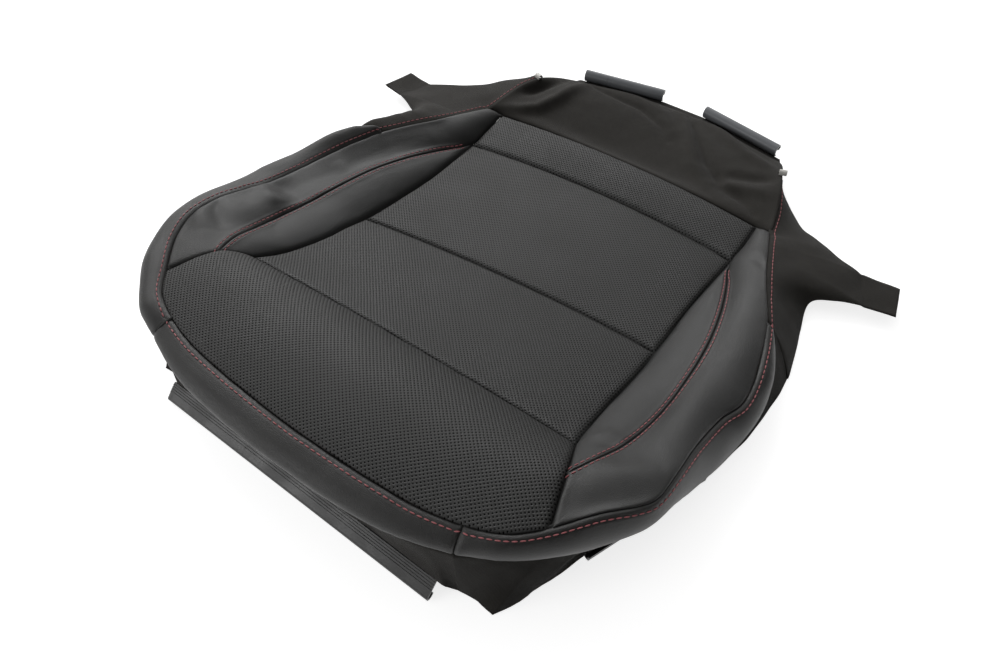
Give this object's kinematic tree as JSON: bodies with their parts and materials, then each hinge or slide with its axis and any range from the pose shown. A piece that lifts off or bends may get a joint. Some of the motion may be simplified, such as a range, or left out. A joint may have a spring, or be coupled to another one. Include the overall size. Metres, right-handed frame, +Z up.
{
  "type": "seat cushion cover",
  "caption": "Sewn leather and fabric trim cover for a sport seat cushion, with perforated insert, raised bolsters and folding plastic retainers on its edges.",
  "frame": {"origin": "middle of the bounding box, on the surface that the cover lies on", "axes": "-Y to the front edge, +X to the right as seen from the front, +Z up"},
  "size_m": [0.6392, 0.6544, 0.0892],
  "materials": {
    "perforated_leather": "charcoal leather, matt, with small staggered perforations about 3.3 mm apart",
    "smooth_leather": "charcoal leather, matt, fine grain, red topstitching along its seams",
    "facing_leather": "charcoal leather, plain, one row of red topstitching under its top seam",
    "backing_foam": "pale laminated foam with a scrim back",
    "woven_fabric": "black woven polyester, matt, fine plain weave",
    "listing_fabric": "dark grey non-woven strip",
    "listing_rod": "white polyamide rod",
    "sewing_tape": "black woven tape",
    "retainer_plastic": "dark grey extruded plastic with lengthwise ribs",
    "clip_plastic": "mid grey extruded plastic, half gloss",
    "white_plastic": "white moulded plastic"
  },
  "bodies": {
    "cover": {"front_panel": "perforated_leather", "insert_front": "perforated_leather", "insert_middle": "perforated_leather", "insert_rear": "perforated_leather", "bolster_inner_left": "smooth_leather", "bolster_inner_right": "smooth_leather", "bolster_outer_left": "smooth_leather", "bolster_outer_right": "smooth_leather", "front_panel_foam": "backing_foam", "insert_front_foam": "backing_foam", "insert_middle_foam": "backing_foam", "insert_rear_foam": "backing_foam", "bolster_inner_foam_left": "backing_foam", "bolster_inner_foam_right": "backing_foam", "bolster_outer_foam_left": "backing_foam", "bolster_outer_foam_right": "backing_foam", "front_facing": "facing_leather", "side_facing_left": "facing_leather", "side_facing_right": "facing_leather", "front_band": "woven_fabric", "side_skirt_left": "woven_fabric", "side_skirt_right": "woven_fabric", "rear_gusset_left": "woven_fabric", "rear_gusset_right": "woven_fabric", "rear_panel": "woven_fabric", "listing_front": "listing_fabric", "listing_middle": "listing_fabric", "listing_rear": "listing_fabric", "listing_left": "listing_fabric", "listing_right": "listing_fabric", "rod_front": "listing_rod", "rod_middle": "listing_rod", "rod_rear": "listing_rod", "rod_left": "listing_rod", "rod_right": "listing_rod", "corner_clip": "white_plastic", "corner_clip_left": "white_plastic", "rear_clip_tape_left": "sewing_tape", "rear_clip_tape_right": "sewing_tape"},
    "front_retainer": {"front_retainer": "retainer_plastic", "front_retainer_tape": "sewing_tape"},
    "rear_clip_left": {"rear_clip_left": "clip_plastic"},
    "side_retainer_left": {"side_retainer_left": "retainer_plastic", "side_retainer_tape_left": "sewing_tape"},
    "ear_tab_left": {"ear_tab_left": "woven_fabric"},
    "rear_clip_right": {"rear_clip_right": "clip_plastic"},
    "side_retainer_right": {"side_retainer_right": "retainer_plastic", "side_retainer_tape_right": "sewing_tape"},
    "ear_tab_right": {"ear_tab_right": "woven_fabric"}
  },
  "joints": [
    {"name": "front_retainer_fold", "type": "hinge", "parent": "cover", "child": "front_retainer", "pos_m": [-0.005, -0.3093, 0.016], "axis": [-1, 0, 0], "range_deg": [0, 95]},
    {"name": "rear_clip_fold_left", "type": "hinge", "parent": "cover", "child": "rear_clip_left", "pos_m": [-0.078, 0.3121, 0.0101], "axis": [-0.9831, -0.1831, 0], "range_deg": [-25, 85]},
    {"name": "side_retainer_fold_left", "type": "hinge", "parent": "cover", "child": "side_retainer_left", "pos_m": [-0.22919, -0.18811, 0.014], "axis": [-0.3396, 0.9406, 0], "range_deg": [0, 100]},
    {"name": "ear_tab_fold_left", "type": "hinge", "parent": "cover", "child": "ear_tab_left", "pos_m": [-0.282, 0.1555, 0.014], "axis": [0.3796, 0.9252, 0], "range_deg": [-15, 110]},
    {"name": "rear_clip_fold_right", "type": "hinge", "parent": "cover", "child": "rear_clip_right", "pos_m": [0.078, 0.3121, 0.0101], "axis": [-0.9831, 0.1831, 0], "range_deg": [-25, 85]},
    {"name": "side_retainer_fold_right", "type": "hinge", "parent": "cover", "child": "side_retainer_right", "pos_m": [0.22919, -0.18811, 0.014], "axis": [-0.3396, -0.9406, 0], "range_deg": [0, 100]},
    {"name": "ear_tab_fold_right", "type": "hinge", "parent": "cover", "child": "ear_tab_right", "pos_m": [0.282, 0.1555, 0.014], "axis": [0.3796, -0.9252, 0], "range_deg": [-15, 110]}
  ]
}
